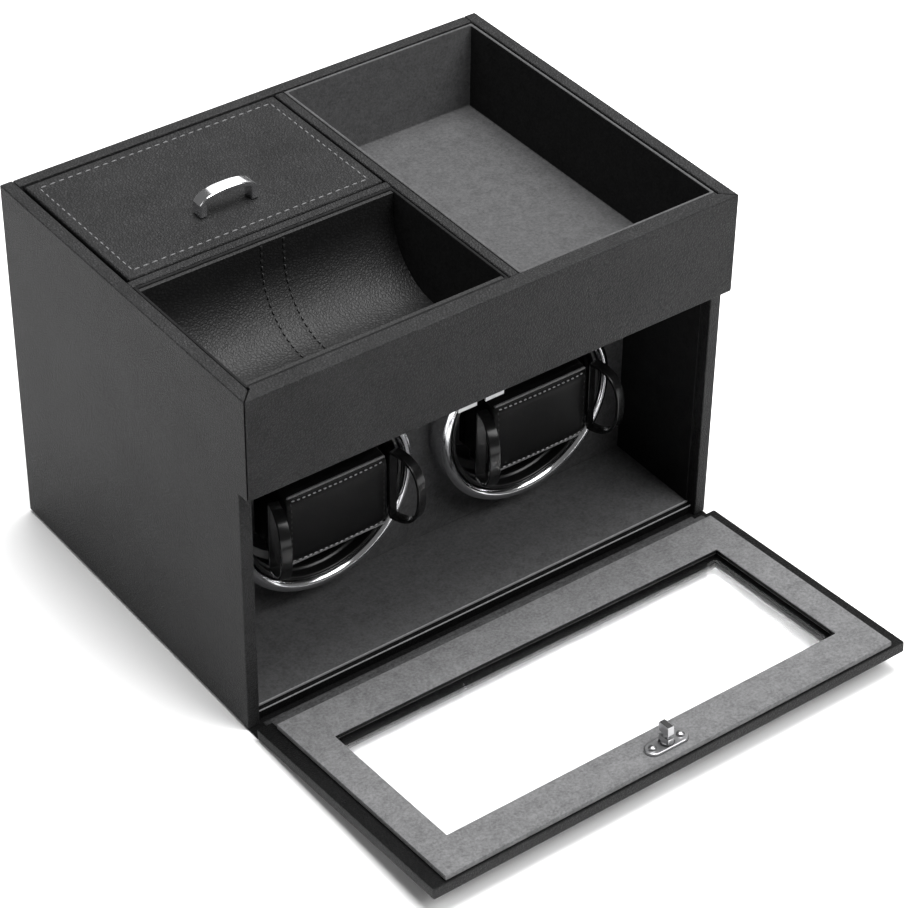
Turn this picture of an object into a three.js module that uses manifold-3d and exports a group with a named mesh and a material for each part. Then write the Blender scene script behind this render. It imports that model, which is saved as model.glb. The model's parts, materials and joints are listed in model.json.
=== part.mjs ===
// Double watch winder box, in millimetres, +Z up, front of the box at -Y.
// The origin is the middle of the underside of the box. The door is modelled open, folded down forwards.
import * as THREE from 'three';
import { mergeVertices } from 'three/addons/utils/BufferGeometryUtils.js';
import Module from 'manifold-3d';

const wasm = await Module();
wasm.setup();

// Driving dimensions.
const WIDTH = 250;            // outside width
const DEPTH = 187;            // front of the fascia to the back of the box
const HEIGHT = 177;           // table to rim
const WALL = 6;               // wrapped board of the sides and the back
const FELT = 1;               // felt sheet under the box
const FASCIA_HEIGHT = 49.5;   // front face of the storage deck
const FRONT_STEP = 6.3;       // the fascia stands this far in front of the side walls
const LINER = 1.3;            // thin lining board
const FIT = 0.3;              // gap between neighbours that touch on the real box

const ROTOR_X = 54.5;         // winder axes, left and right of the middle
const ROTOR_Z = 62.5;         // winder axes above the table
const RING_RADIUS = 46.6;     // bright bezel ring
const PANEL_Y = -32;          // front face of the upright panel around the winders

const DOOR_TILT = 4.5;        // open door, degrees above the table, held up by its stiff strip
const DOOR_TOP = 126.3;       // hinge line to free edge
const DOOR_BOARD = 5.5;       // outer board of the door
const DOOR_PLUG = 8.3;        // outer face to the face of the raised inner panel
const LATCH_U = 117.5;        // hinge line to the latch spindle

const COVER_Z = 60;           // middle of the rear service cover
const KNOB_X = 36;            // mode knobs, left and right of the middle
const SCREW_X = 62.5;         // cover screws, left and right of the middle

const halfWidth = WIDTH / 2;
const front = -DEPTH / 2;
const back = DEPTH / 2;
const bodyFront = front + FRONT_STEP;
const innerX = halfWidth - WALL;
const fasciaBottom = HEIGHT - FASCIA_HEIGHT;
const deckTop = fasciaBottom + 4.2;

// Materials.
const finish = (color, roughness, metalness = 0) =>
  () => new THREE.MeshStandardMaterial({ color, roughness, metalness });
const leather = finish(0x242424, 0.55);
const suede = finish(0x5c5c5c, 0.95);
const darkSuede = finish(0x2e2e2e, 0.95);
const chrome = finish(0xe0e0e2, 0.08, 1);
const steel = finish(0xa8a8aa, 0.35, 1);
const glossBlack = finish(0x101010, 0.12);
const mattBlack = finish(0x1c1c1c, 0.6);
const rubber = finish(0x161616, 0.9);
const circuitGreen = finish(0x1f5a34, 0.5);
const clear = () => new THREE.MeshStandardMaterial({
  color: 0xf4f6f7, roughness: 0.05, transparent: true, opacity: 0.25 });

// Geometry helpers. A block is given by its limits along X, Y and Z.
function block(x0, x1, y0, y1, z0, z1) {
  const geometry = new THREE.BoxGeometry(x1 - x0, y1 - y0, z1 - z0);
  return geometry.translate((x0 + x1) / 2, (y0 + y1) / 2, (z0 + z1) / 2);
}

function signedVolume(geometry) {
  const p = geometry.getAttribute('position');
  const index = geometry.getIndex().array;
  const [a, b, c] = [new THREE.Vector3(), new THREE.Vector3(), new THREE.Vector3()];
  let volume = 0;
  for (let i = 0; i < index.length; i += 3) {
    a.fromBufferAttribute(p, index[i]);
    b.fromBufferAttribute(p, index[i + 1]);
    c.fromBufferAttribute(p, index[i + 2]);
    volume += a.dot(b.cross(c)) / 6;
  }
  return volume;
}

// Shared vertices merged and faces turned outwards.
function closed(geometry) {
  geometry.deleteAttribute('normal');
  geometry.deleteAttribute('uv');
  const merged = mergeVertices(geometry, 1e-4);
  const index = merged.getIndex().array;
  if (signedVolume(merged) < 0) {
    for (let i = 0; i < index.length; i += 3) {
      [index[i], index[i + 1]] = [index[i + 1], index[i]];
    }
  }
  return merged;
}

function solid(geometry) {
  const shared = closed(geometry);
  const vertProperties = new Float32Array(shared.getAttribute('position').array);
  const triVerts = new Uint32Array(shared.getIndex().array);
  return new wasm.Manifold(new wasm.Mesh({ numProp: 3, vertProperties, triVerts }));
}

function geometryOf(manifold) {
  const mesh = manifold.getMesh();
  const geometry = new THREE.BufferGeometry();
  geometry.setAttribute('position', new THREE.BufferAttribute(mesh.vertProperties, 3));
  geometry.setIndex(new THREE.BufferAttribute(mesh.triVerts, 1));
  return geometry;
}

function cut(body, ...tools) {
  return geometryOf(tools.reduce((rest, tool) => rest.subtract(solid(tool)), solid(body)));
}

function join(body, ...others) {
  return geometryOf(others.reduce((rest, other) => rest.add(solid(other)), solid(body)));
}

// A turned piece: [radius, along] pairs, spun about the line through (x, z) along Y.
function turnedY(profile, x, z, segments = 36) {
  const points = profile.map(([radius, along]) => new THREE.Vector2(radius, along));
  return new THREE.LatheGeometry(points, segments).translate(x, 0, z);
}

// The same, spun about the line through (x, y) along Z.
function turnedZ(profile, x, y, segments = 24) {
  const points = profile.map(([radius, along]) => new THREE.Vector2(radius, along));
  return new THREE.LatheGeometry(points, segments).rotateX(Math.PI / 2).translate(x, y, 0);
}

function rod(radius, y0, y1, x, z, segments = 24) {
  return turnedY([[0, y0], [radius, y0], [radius, y1], [0, y1]], x, z, segments);
}

function shapeOf(pairs) {
  return new THREE.Shape(pairs.map(([a, b]) => new THREE.Vector2(a, b)));
}

// An outline in Y and Z, drawn out along X.
function alongX(shape, x0, x1, curveSegments = 12) {
  const geometry = new THREE.ExtrudeGeometry(shape, { depth: x1 - x0, bevelEnabled: false, curveSegments });
  const basis = new THREE.Matrix4().makeBasis(
    new THREE.Vector3(0, 1, 0), new THREE.Vector3(0, 0, 1), new THREE.Vector3(1, 0, 0));
  return geometry.applyMatrix4(basis).translate(x0, 0, 0);
}

// An outline in X and Z, drawn out along Y.
function alongY(shape, y0, y1, curveSegments = 12) {
  const geometry = new THREE.ExtrudeGeometry(shape, { depth: y1 - y0, bevelEnabled: false, curveSegments });
  const basis = new THREE.Matrix4().makeBasis(
    new THREE.Vector3(1, 0, 0), new THREE.Vector3(0, 0, 1), new THREE.Vector3(0, -1, 0));
  return geometry.applyMatrix4(basis).translate(0, y1, 0);
}

// An outline in X and Y, drawn up between two heights.
function upright(pairs, z0, z1) {
  return new THREE.ExtrudeGeometry(shapeOf(pairs), { depth: z1 - z0, bevelEnabled: false }).translate(0, 0, z0);
}

const box = new THREE.Group();

function piece(name, geometry, material, parent = box) {
  const mesh = new THREE.Mesh(closed(geometry), material());
  mesh.name = name;
  parent.add(mesh);
  return mesh;
}

// Cabinet of leather-wrapped boards, on a felt sheet. The fascia meets the sides in mitred corners.
function cabinet() {
  const x = innerX - 0.1;
  piece('base_felt', block(-halfWidth + 1, halfWidth - 1, bodyFront + 4, back - 1, 0, FELT - 0.05), darkSuede);
  piece('base_panel', block(-x, x, bodyFront + 2.6, back - WALL - 0.1, FELT, 5.5), leather);
  for (const [side, sign] of [['left', -1], ['right', 1]]) {
    const edges = [sign * innerX, sign * halfWidth].sort((a, b) => a - b);
    const mitre = upright([
      [sign * innerX, bodyFront + 0.1], [sign * innerX, bodyFront - 0.05],
      [sign * halfWidth, front + 0.25], [sign * halfWidth, bodyFront + 0.1]], fasciaBottom, HEIGHT);
    piece(`side_panel_${side}`, join(block(...edges, bodyFront, back, FELT, HEIGHT), mitre), leather);
  }
  const boardBack = bodyFront - 0.1;
  const [long, short] = [halfWidth - 0.25, halfWidth - 0.25 - (boardBack - front)];
  const fascia = join(
    upright([[-long, front], [long, front], [short, boardBack], [-short, boardBack]], fasciaBottom, HEIGHT),
    block(0.3 - x, x - 0.3, boardBack - 0.1, bodyFront + 1.9, fasciaBottom, HEIGHT));
  piece('front_fascia', fascia, leather);
  const opening = block(-60, 60, back - WALL - 1, back + 1, 25, 95);
  const rebate = block(-66.3, 66.3, back - 2.4, back + 1, 18.7, 101.3);
  const pilots = [-1, 1].map((sign) => rod(1.7, back - WALL - 1, back, sign * SCREW_X, COVER_Z, 12));
  piece('back_panel', cut(block(-x, x, back - WALL, back, FELT, HEIGHT), opening, rebate, ...pilots), leather);
  piece('storage_deck', block(-x, x, bodyFront + 2.2, back - WALL - 0.1, fasciaBottom + 0.1, deckTop), mattBlack);
}

// Storage above the deck: a long tray, a padded cradle and a bin with a lid.
const dividerX = [10, 14.6];
const dividerY = [-2.2, 2];
const trayFront = bodyFront + 2.2;
const trayBack = back - WALL - FIT;
const trayFloor = deckTop + FIT;

// An open lining box with walls of the given thickness.
function lining(x0, x1, y0, y1, top, wall) {
  return cut(
    block(x0, x1, y0, y1, trayFloor, top),
    block(x0 + wall, x1 - wall, y0 + wall, y1 - wall, trayFloor + LINER, top + 1));
}

// The cradle is one bent sheet: down the back, round, along the floor, round and up the front.
function cradleSheet(y0, y1, floor, top, thickness, radius) {
  const outline = new THREE.Shape();
  outline.moveTo(y0, top);
  outline.lineTo(y0, floor + radius);
  outline.absarc(y0 + radius, floor + radius, radius, Math.PI, 1.5 * Math.PI, false);
  outline.lineTo(y1 - radius, floor);
  outline.absarc(y1 - radius, floor + radius, radius, 1.5 * Math.PI, 2 * Math.PI, false);
  outline.lineTo(y1, top);
  outline.lineTo(y1 - thickness, top);
  const bend = radius - thickness;
  outline.lineTo(y1 - thickness, floor + radius);
  outline.absarc(y1 - radius, floor + radius, bend, 2 * Math.PI, 1.5 * Math.PI, true);
  outline.lineTo(y0 + radius, floor + thickness);
  outline.absarc(y0 + radius, floor + radius, bend, 1.5 * Math.PI, Math.PI, true);
  outline.lineTo(y0 + thickness, top);
  outline.closePath();
  return outline;
}

function storage() {
  const boardTop = HEIGHT - 0.4;
  const linerTop = HEIGHT - 0.6;
  const left = -innerX + 0.5;
  piece('long_divider', block(...dividerX, trayFront, trayBack, deckTop + 0.1, boardTop), leather);
  piece('cross_divider', block(-innerX + 0.1, dividerX[0] - 0.1, ...dividerY, deckTop + 0.1, boardTop), leather);
  piece('storage_tray_liner',
    lining(dividerX[1] + 0.5, innerX - 0.5, trayFront, trayBack, linerTop, LINER), suede);
  piece('cradle_tray_liner',
    lining(left, dividerX[0] - 0.5, trayFront, dividerY[0] - FIT, linerTop, LINER), suede);
  const sheet = cradleSheet(trayFront + LINER + 0.2, dividerY[0] - FIT - LINER - 0.2,
    trayFloor + LINER + FIT, HEIGHT - 1.2, 2, 32);
  piece('cradle_insert', alongX(sheet, left + LINER + 0.2, dividerX[0] - 0.5 - LINER - 0.2, 8), leather);
  piece('bin_liner', lining(left, dividerX[0] - 0.5, dividerY[1] + FIT, trayBack, HEIGHT - 3.6, 2.5), darkSuede);
}

// Lid of the bin, with its bar handle.
function binLid() {
  const top = HEIGHT - 0.1;
  piece('bin_lid', block(-innerX + 1.8, dividerX[0] - 1.1, dividerY[1] + 0.8, back - WALL - 1.1, top - 3.2, top),
    leather);
  const [reach, shoulder, inside] = [14.5, 12.2, 10.9];
  const outline = new THREE.Shape();
  outline.moveTo(-reach, 0);
  outline.lineTo(-inside, 0);
  outline.lineTo(-inside, 6.6);
  outline.quadraticCurveTo(0, 10.2, inside, 6.6);
  outline.lineTo(inside, 0);
  outline.lineTo(reach, 0);
  outline.lineTo(reach, 6.3);
  outline.lineTo(shoulder, 8.6);
  outline.quadraticCurveTo(0, 12.8, -shoulder, 8.6);
  outline.lineTo(-reach, 6.3);
  outline.closePath();
  const handle = alongY(outline, 22, 28.4, 6);
  piece('lid_handle', handle.translate(-55.6, 0, top + 0.2), chrome);
}

// Lined bay under the deck, with the upright panel that the winders stand in.
function bay() {
  const x = innerX - 0.2;
  const ceiling = fasciaBottom - 0.2;
  const [near, far] = [bodyFront + 4.7, PANEL_Y - 0.2];
  const floor = 5.7;
  piece('bay_lining', cut(
    block(-x, x, near, far, floor, ceiling),
    block(-x + LINER, x - LINER, near - 1, far + 1, floor + LINER, ceiling + 1)), suede);
  const holes = [-ROTOR_X, ROTOR_X].map((cx) => rod(41.4, PANEL_Y - 1, PANEL_Y + 4, cx, ROTOR_Z, 36));
  piece('winder_panel', cut(block(-x, x, PANEL_Y, PANEL_Y + 3, floor, ceiling), ...holes), suede);
}

// One winder: ring, cup and driven pulley turn together on a fixed axle, driven by a belt.
const PULLEY = { radius: 31, groove: 28.7, near: -9.7, far: -1.7 };
const MOTOR = { dx: 32.5, dz: 29.7, radius: 6.5, groove: 4.7 };
const PLATE_Y = [6, 8];

function ringProfile() {
  const half = (RING_RADIUS - 41.1) / 2;
  const middle = 41.1 + half;
  const profile = [[41.1, PANEL_Y - 1.2], [RING_RADIUS, PANEL_Y - 1.2]];
  for (let i = 0; i <= 6; i += 1) {
    const turn = (i / 6) * Math.PI;
    profile.push([middle + half * Math.cos(turn), PANEL_Y - 9.2 - 3.2 * Math.sin(turn)]);
  }
  profile.push(profile[0]);
  return profile;
}

const cupProfile = [
  [0, -10], [40.7, -10], [40.7, -42.5], [38.7, -42.5], [38.7, -28], [35.3, -26], [35.3, -12.2], [0, -12.2]];

function pulleyProfile(radius, groove, bore) {
  const { near, far } = PULLEY;
  return [[bore, near], [radius, near], [radius, near + 1.6], [groove, near + 2.2], [groove, far - 2.2],
    [radius, far - 1.6], [radius, far], [bore, far], [bore, near]];
}

// Belt: the band around two circles, one at the winder axis and one at the motor.
function beltShape(dx, dz, big, small) {
  const reach = Math.hypot(dx, dz);
  const heading = Math.atan2(dz, dx);
  const wrap = Math.acos((big - small) / reach);
  const points = [];
  const arc = (cx, cz, radius, start, end, steps) => {
    for (let i = 0; i <= steps; i += 1) {
      const turn = start + ((end - start) * i) / steps;
      points.push(new THREE.Vector2(cx + radius * Math.cos(turn), cz + radius * Math.sin(turn)));
    }
  };
  arc(0, 0, big, heading + wrap, heading + 2 * Math.PI - wrap, 20);
  arc(dx, dz, small, heading - wrap, heading + wrap, 8);
  return points;
}

function winder(side, cx) {
  const dx = -Math.sign(cx) * MOTOR.dx;
  const motorX = cx + dx;
  const motorZ = ROTOR_Z + MOTOR.dz;
  piece(`bezel_ring_${side}`, turnedY(ringProfile(), cx, ROTOR_Z, 40), chrome);
  piece(`rotor_cup_${side}`, turnedY(cupProfile, cx, ROTOR_Z), glossBlack);
  piece(`driven_pulley_${side}`, turnedY(pulleyProfile(PULLEY.radius, PULLEY.groove, 3.3), cx, ROTOR_Z),
    mattBlack);
  piece(`rotor_axle_${side}`, rod(3, PULLEY.near + 0.3, PLATE_Y[1] + 5, cx, ROTOR_Z, 16), steel);
  piece(`motor_pulley_${side}`, turnedY(pulleyProfile(MOTOR.radius, MOTOR.groove, 1.3), motorX, motorZ, 20),
    mattBlack);
  const can = [[0, PULLEY.near + 1], [1, PULLEY.near + 1], [1, PLATE_Y[1] + FIT], [12, PLATE_Y[1] + FIT],
    [12, 34], [0, 34]];
  piece(`motor_${side}`, turnedY(can, motorX, motorZ, 24), steel);
  const belt = new THREE.Shape(beltShape(dx, MOTOR.dz, PULLEY.groove + 2.1, MOTOR.groove + 1.7));
  belt.holes.push(new THREE.Path(beltShape(dx, MOTOR.dz, PULLEY.groove + 0.3, MOTOR.groove + 0.3).reverse()));
  const middle = (PULLEY.near + PULLEY.far) / 2;
  piece(`drive_belt_${side}`, alongY(belt, middle - 1.3, middle + 1.3).translate(cx, 0, ROTOR_Z), rubber);
}

// Bent steel plate behind the winders. It holds both axles and both motors.
function mechanismPlate() {
  const angle = join(
    block(-105, 105, ...PLATE_Y, 5.8, 116),
    block(-105, 105, PLATE_Y[0] + 0.5, 24, 5.8, 7.8));
  const holes = [-1, 1].flatMap((sign) => [
    rod(3.3, PLATE_Y[0] - 1, PLATE_Y[1] + 1, sign * ROTOR_X, ROTOR_Z, 16),
    rod(1.6, PLATE_Y[0] - 1, PLATE_Y[1] + 1, sign * (ROTOR_X - MOTOR.dx), ROTOR_Z + MOTOR.dz, 12)]);
  piece('mechanism_plate', cut(angle, ...holes), steel);
}

// Watch pillow: a soft pad on a plastic frame, with a springy hoop at each end.
const PAD = { near: -54, far: -35, half: 26, tall: 19.5 };
const HOOP = { length: 18, half: 18.5, band: 1.5, width: 5, outward: 0.25, forward: -0.968 };

function hoopShape(inset) {
  const outline = new THREE.Path();
  const [length, half] = [HOOP.length - inset, HOOP.half - inset];
  outline.moveTo(inset, -half);
  for (let i = 1; i <= 12; i += 1) {
    const turn = -Math.PI / 2 + (i / 12) * Math.PI;
    outline.lineTo(inset + (length - inset) * Math.cos(turn), half * Math.sin(turn));
  }
  outline.closePath();
  return outline;
}

function pillow(side, cx) {
  const { near, far, tall } = PAD;
  const ear = PAD.half + 0.4;
  const corner = 9;
  const section = new THREE.Shape();
  section.moveTo(far, -tall);
  section.lineTo(far, tall);
  section.lineTo(near + corner, tall);
  section.absarc(near + corner, tall - corner, corner, Math.PI / 2, Math.PI, false);
  section.absarc(near + corner, corner - tall, corner, Math.PI, 1.5 * Math.PI, false);
  section.closePath();
  piece(`pillow_pad_${side}`, alongX(section, cx - PAD.half, cx + PAD.half, 5).translate(0, 0, ROTOR_Z), leather);
  const [z0, z1] = [ROTOR_Z - 13, ROTOR_Z + 13];
  const frame = join(
    block(cx - ear - 1.3, cx + ear + 1.3, far + FIT, far + 5.5, z0, z1),
    block(cx - ear - 1.3, cx - ear, near + 4, far + 1, z0, z1),
    block(cx + ear, cx + ear + 1.3, near + 4, far + 1, z0, z1));
  piece(`pillow_frame_${side}`, frame, glossBlack);
  for (const [end, sign] of [['left', -1], ['right', 1]]) {
    const loop = new THREE.Shape(hoopShape(0).getPoints());
    loop.holes.push(hoopShape(HOOP.band));
    const geometry = new THREE.ExtrudeGeometry(loop, { depth: HOOP.width, bevelEnabled: false })
      .translate(0, 0, -HOOP.width / 2);
    const outward = new THREE.Vector3(sign * HOOP.outward, HOOP.forward, 0).normalize();
    const up = new THREE.Vector3(0, 0, 1);
    geometry.applyMatrix4(new THREE.Matrix4().makeBasis(outward, up, outward.clone().cross(up)));
    const hoop = geometry.translate(cx + sign * (ear + 4.1), near + 5.1, ROTOR_Z);
    piece(`pillow_hoop_${end}_${side}`, hoop, glossBlack);
  }
}

// Door, in its own frame: hinge line at the origin, free edge at -Y, inner face up.
function door() {
  const leaf = new THREE.Group();
  leaf.position.set(0, front, 0.5);
  leaf.rotation.x = THREE.MathUtils.degToRad(-DOOR_TILT);
  box.add(leaf);
  const bore = (radius) => turnedZ([[0, -5], [radius, -5], [radius, 15], [0, 15]], 0, -LATCH_U);
  const board = block(-halfWidth, halfWidth, -DOOR_TOP, -0.7, 0, DOOR_BOARD);
  piece('door_shell', cut(board,
    block(-101, 101, -103.5, -30, -1, 7),
    block(-106, 106, -108.5, -25, 3.1, 7), bore(3)), leather, leaf);
  const plug = block(-118.3, 118.3, -DOOR_TOP + 1, -6, DOOR_BOARD + 0.2, DOOR_PLUG);
  piece('door_inner_panel', cut(plug, block(-103.5, 103.5, -106, -27.5, 4, 9), bore(3.3)), suede, leaf);
  piece('door_window', block(-105.7, 105.7, -108.2, -25.3, 3.3, DOOR_BOARD - 0.1), clear, leaf);

  const plate = new THREE.Shape();
  plate.absarc(-6.6, 0, 4.2, Math.PI / 2, 1.5 * Math.PI, false);
  plate.absarc(6.6, 0, 4.2, -Math.PI / 2, Math.PI / 2, false);
  plate.closePath();
  plate.holes.push(new THREE.Path().absarc(0, 0, 3.3, 0, 2 * Math.PI, true));
  const escutcheon = new THREE.ExtrudeGeometry(plate, { depth: 1.2, bevelEnabled: false, curveSegments: 8 });
  piece('latch_plate', escutcheon.translate(0, -LATCH_U, DOOR_PLUG + 0.2), chrome, leaf);
  const plateTop = DOOR_PLUG + 1.4;
  for (const [side, sign] of [['left', -1], ['right', 1]]) {
    const dome = [[0, plateTop + 0.2], [1.9, plateTop + 0.2], [1.6, plateTop + 0.9], [0.8, plateTop + 1.3],
      [0, plateTop + 1.4]];
    piece(`latch_screw_${side}`, turnedZ(dome, sign * 7.4, -LATCH_U, 12), chrome, leaf);
  }
  const shank = turnedZ([[0, -2.6], [2.6, -2.6], [2.6, plateTop + 0.6], [0, plateTop + 0.6]], 0, -LATCH_U, 16);
  const neck = turnedZ([[0, plateTop], [1.5, plateTop], [1.5, 14.4], [0, 14.4]], 0, -LATCH_U, 16);
  const tongue = (z0, z1) => block(-1.7, 1.7, -LATCH_U - 3.2, -LATCH_U + 3.2, z0, z1);
  piece('latch_spindle', join(shank, neck, tongue(plateTop + 0.3, 12.6)), chrome, leaf);
  piece('latch_head', tongue(14.6, 19.3), chrome, leaf);
  const knob = [[0, -4.6], [4.3, -4.6], [5, -4], [5, -1.2], [4.2, -0.3], [2.9, -0.3], [2.9, -2.9], [0, -2.9]];
  piece('latch_knob', turnedZ(knob, 0, -LATCH_U, 28), chrome, leaf);
}

// Leather strip that the door folds on, and the forked bracket that its latch turns behind.
function doorFittings() {
  piece('hinge_strip', block(-halfWidth + 0.5, halfWidth - 0.5, front + 0.1, bodyFront + 3.7, 0, 0.8), leather);
  const z = LATCH_U + 0.5;
  const bracket = join(
    block(-12, 12, -80.6, -79.4, z - 4.5, fasciaBottom - 0.2),
    block(-12, 12, -80, -68, fasciaBottom - 1.4, fasciaBottom - 0.2));
  piece('strike_bracket', cut(bracket, block(-2.2, 2.2, -82, -78, z - 5, z + 3.6)), steel);
}

// Rear service cover with the two mode knobs, the rocker switch and the power inlet.
function rear() {
  const [inner, outer] = [back - 2.1, back - 0.2];
  const holes = [
    ...[-1, 1].map((sign) => rod(3.4, inner - 1, outer + 1, sign * KNOB_X, COVER_Z + 12, 16)),
    rod(4.6, inner - 1, outer + 1, 14, COVER_Z - 18, 16),
    block(-20.8, -7.2, inner - 1, outer + 1, COVER_Z - 27.8, COVER_Z - 8.2),
    ...[-1, 1].map((sign) => rod(1.8, inner - 1, outer + 1, sign * SCREW_X, COVER_Z, 12))];
  piece('rear_cover', cut(block(-66, 66, inner, outer, COVER_Z - 41, COVER_Z + 41), ...holes), mattBlack);
  for (const [side, sign] of [['left', -1], ['right', 1]]) {
    const knob = [[0, 80.4], [3, 80.4], [3, back + 0.3], [8, back + 0.3], [7.2, back + 6.5], [0, back + 6.5]];
    piece(`mode_knob_${side}`, turnedY(knob, sign * KNOB_X, COVER_Z + 12, 20), mattBlack);
    const screw = [[0, 88], [1.4, 88], [1.4, outer + 0.3], [2.9, outer + 0.3], [2, outer + 1.4],
      [0, outer + 1.6]];
    piece(`cover_screw_${side}`, turnedY(screw, sign * SCREW_X, COVER_Z, 12), steel);
  }
  const inlet = [[0, 80.4], [4.3, 80.4], [4.3, outer + 0.2], [5.4, outer + 0.2], [5.4, outer + 1],
    [2.8, outer + 1], [2.8, 84], [0, 84]];
  piece('power_inlet', turnedY(inlet, 14, COVER_Z - 18, 48), mattBlack);
  const rocker = shapeOf([[84, -9], [outer + 3, -9], [outer + 1.2, 0], [outer + 1.4, 9], [84, 9]]);
  piece('power_switch', alongX(rocker, -20.3, -7.7).translate(0, 0, COVER_Z - 18), glossBlack);
  piece('control_board', block(-50, 50, 78, 79.6, COVER_Z - 30, COVER_Z + 25), circuitGreen);
}

cabinet();
storage();
binLid();
bay();
winder('left', -ROTOR_X);
winder('right', ROTOR_X);
mechanismPlate();
pillow('left', -ROTOR_X);
pillow('right', ROTOR_X);
door();
doorFittings();
rear();

export default box;
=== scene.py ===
# Double watch winder box with a storage deck, door open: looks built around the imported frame.
# Metres, +Z up, front at -Y, underside of the box on the table at z = 0.
import json
import math

import bmesh
import bpy
from mathutils import Matrix, Vector
from mathutils.bvhtree import BVHTree


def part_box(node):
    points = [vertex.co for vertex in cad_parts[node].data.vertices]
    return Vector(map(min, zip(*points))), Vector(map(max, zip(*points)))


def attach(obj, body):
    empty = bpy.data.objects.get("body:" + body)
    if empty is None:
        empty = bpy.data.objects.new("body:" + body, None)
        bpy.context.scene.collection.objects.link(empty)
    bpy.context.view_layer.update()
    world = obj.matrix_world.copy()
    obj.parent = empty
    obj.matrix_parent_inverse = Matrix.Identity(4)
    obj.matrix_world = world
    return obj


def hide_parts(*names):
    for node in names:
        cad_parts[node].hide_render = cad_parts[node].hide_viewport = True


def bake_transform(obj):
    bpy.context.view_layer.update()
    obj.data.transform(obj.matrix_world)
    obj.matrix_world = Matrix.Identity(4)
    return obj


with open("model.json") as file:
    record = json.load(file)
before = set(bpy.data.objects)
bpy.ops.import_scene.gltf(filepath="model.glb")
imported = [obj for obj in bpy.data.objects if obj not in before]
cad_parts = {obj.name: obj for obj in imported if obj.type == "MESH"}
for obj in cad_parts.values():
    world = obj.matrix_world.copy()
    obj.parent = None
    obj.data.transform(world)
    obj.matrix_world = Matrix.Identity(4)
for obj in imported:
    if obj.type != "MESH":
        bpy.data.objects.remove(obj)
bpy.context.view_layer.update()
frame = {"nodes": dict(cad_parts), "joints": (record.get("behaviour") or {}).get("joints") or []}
mm = 0.001


# Camera and studio. A long lens looks down on the box's left front corner. Wide soft boxes hang over
# a pale floor, and the white room round it gives the bright metal something to mirror.
def studio():
    scene = bpy.context.scene
    lens = bpy.data.cameras.new("camera")
    lens.sensor_width = 36
    lens.lens = 122.2
    lens.clip_start = 0.05
    camera = bpy.data.objects.new("camera", lens)
    camera.location = (-0.6267, -0.8952, 0.8933)
    turn = Matrix.Rotation(math.radians(-36.96), 4, "Z")
    tip = Matrix.Rotation(math.radians(90 - 38.13), 4, "X")
    roll = Matrix.Rotation(math.radians(0.85), 4, "Z")
    camera.rotation_euler = (turn @ tip @ roll).to_euler()
    scene.collection.objects.link(camera)
    scene.camera = camera

    lamps = {
        "key_box": ((0.75, -1.35, 1.75), (0, -0.05, 0.05), 1.3, 37.0),
        "top_box": ((0.14, -0.05, 1.80), (0, 0, 0.1), 1.0, 56.0),
        "left_box": ((-1.50, 0.50, 1.10), (-0.3, 0, 0), 0.9, 4.5),
        "back_box": ((1.30, 1.70, 1.70), (0, 0, 0.15), 1.9, 20.0),
    }
    for name, (place, aim, side, power) in lamps.items():
        light = bpy.data.lights.new(name, "AREA")
        light.size = side
        light.energy = power
        lamp = bpy.data.objects.new(name, light)
        lamp.location = place
        lamp.rotation_euler = (Vector(aim) - Vector(place)).to_track_quat("-Z", "Y").to_euler()
        scene.collection.objects.link(lamp)

    world = bpy.data.worlds.new("room")
    world.use_nodes = True
    room = world.node_tree.nodes["Background"]
    room.inputs["Color"].default_value = (1, 1, 1, 1)
    room.inputs["Strength"].default_value = 0.14
    scene.world = world
    scene.view_settings.view_transform = "Standard"

    ground = bmesh.new()
    bmesh.ops.create_grid(ground, x_segments=4, y_segments=4, size=4)
    bmesh.ops.translate(ground, verts=ground.verts, vec=(0, 0, -0.1 * mm))
    mesh = bpy.data.meshes.new("floor")
    ground.to_mesh(mesh)
    ground.free()
    floor = bpy.data.objects.new("floor", mesh)
    paper = bpy.data.materials.new("paper")
    paper.use_nodes = True
    shader = paper.node_tree.nodes["Principled BSDF"]
    shader.inputs["Base Color"].default_value = (0.94, 0.94, 0.94, 1)
    shader.inputs["Roughness"].default_value = 0.9
    mesh.materials.append(paper)
    scene.collection.objects.link(floor)


studio()


# Wrapped boards: the floor board and the two dividers. Each is a fibreboard with leatherette glued
# round it, so its edges are softly rounded. A board is a block with its edges bevelled, set between
# the frame's corners.
def add(tree, kind, sockets=None, **settings):
    made = tree.nodes.new("ShaderNode" + kind)
    for name, value in settings.items():
        setattr(made, name, value)
    for name, value in (sockets or {}).items():
        if isinstance(value, bpy.types.NodeSocket):
            tree.links.new(value, made.inputs[name])
        else:
            made.inputs[name].default_value = value
    return made


def group(name, inputs, outputs):
    tree = bpy.data.node_groups.new(name, "ShaderNodeTree")
    for title, (kind, value) in inputs.items():
        socket = tree.interface.new_socket(title, in_out="INPUT", socket_type="NodeSocket" + kind)
        socket.default_value = value
    for title, kind in outputs.items():
        tree.interface.new_socket(title, in_out="OUTPUT", socket_type="NodeSocket" + kind)
    return tree, tree.nodes.new("NodeGroupInput").outputs, tree.nodes.new("NodeGroupOutput").inputs


def mixed(tree, factor, low, high):
    mix = add(tree, "Mix", {0: factor, 6: low, 7: high}, data_type="RGBA")
    return mix.outputs[2]


def spread(tree, value, low, high, from_low=0.0, from_high=1.0):
    sockets = {"Value": value, "From Min": from_low, "From Max": from_high, "To Min": low, "To Max": high}
    return add(tree, "MapRange", sockets).outputs["Result"]


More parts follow.
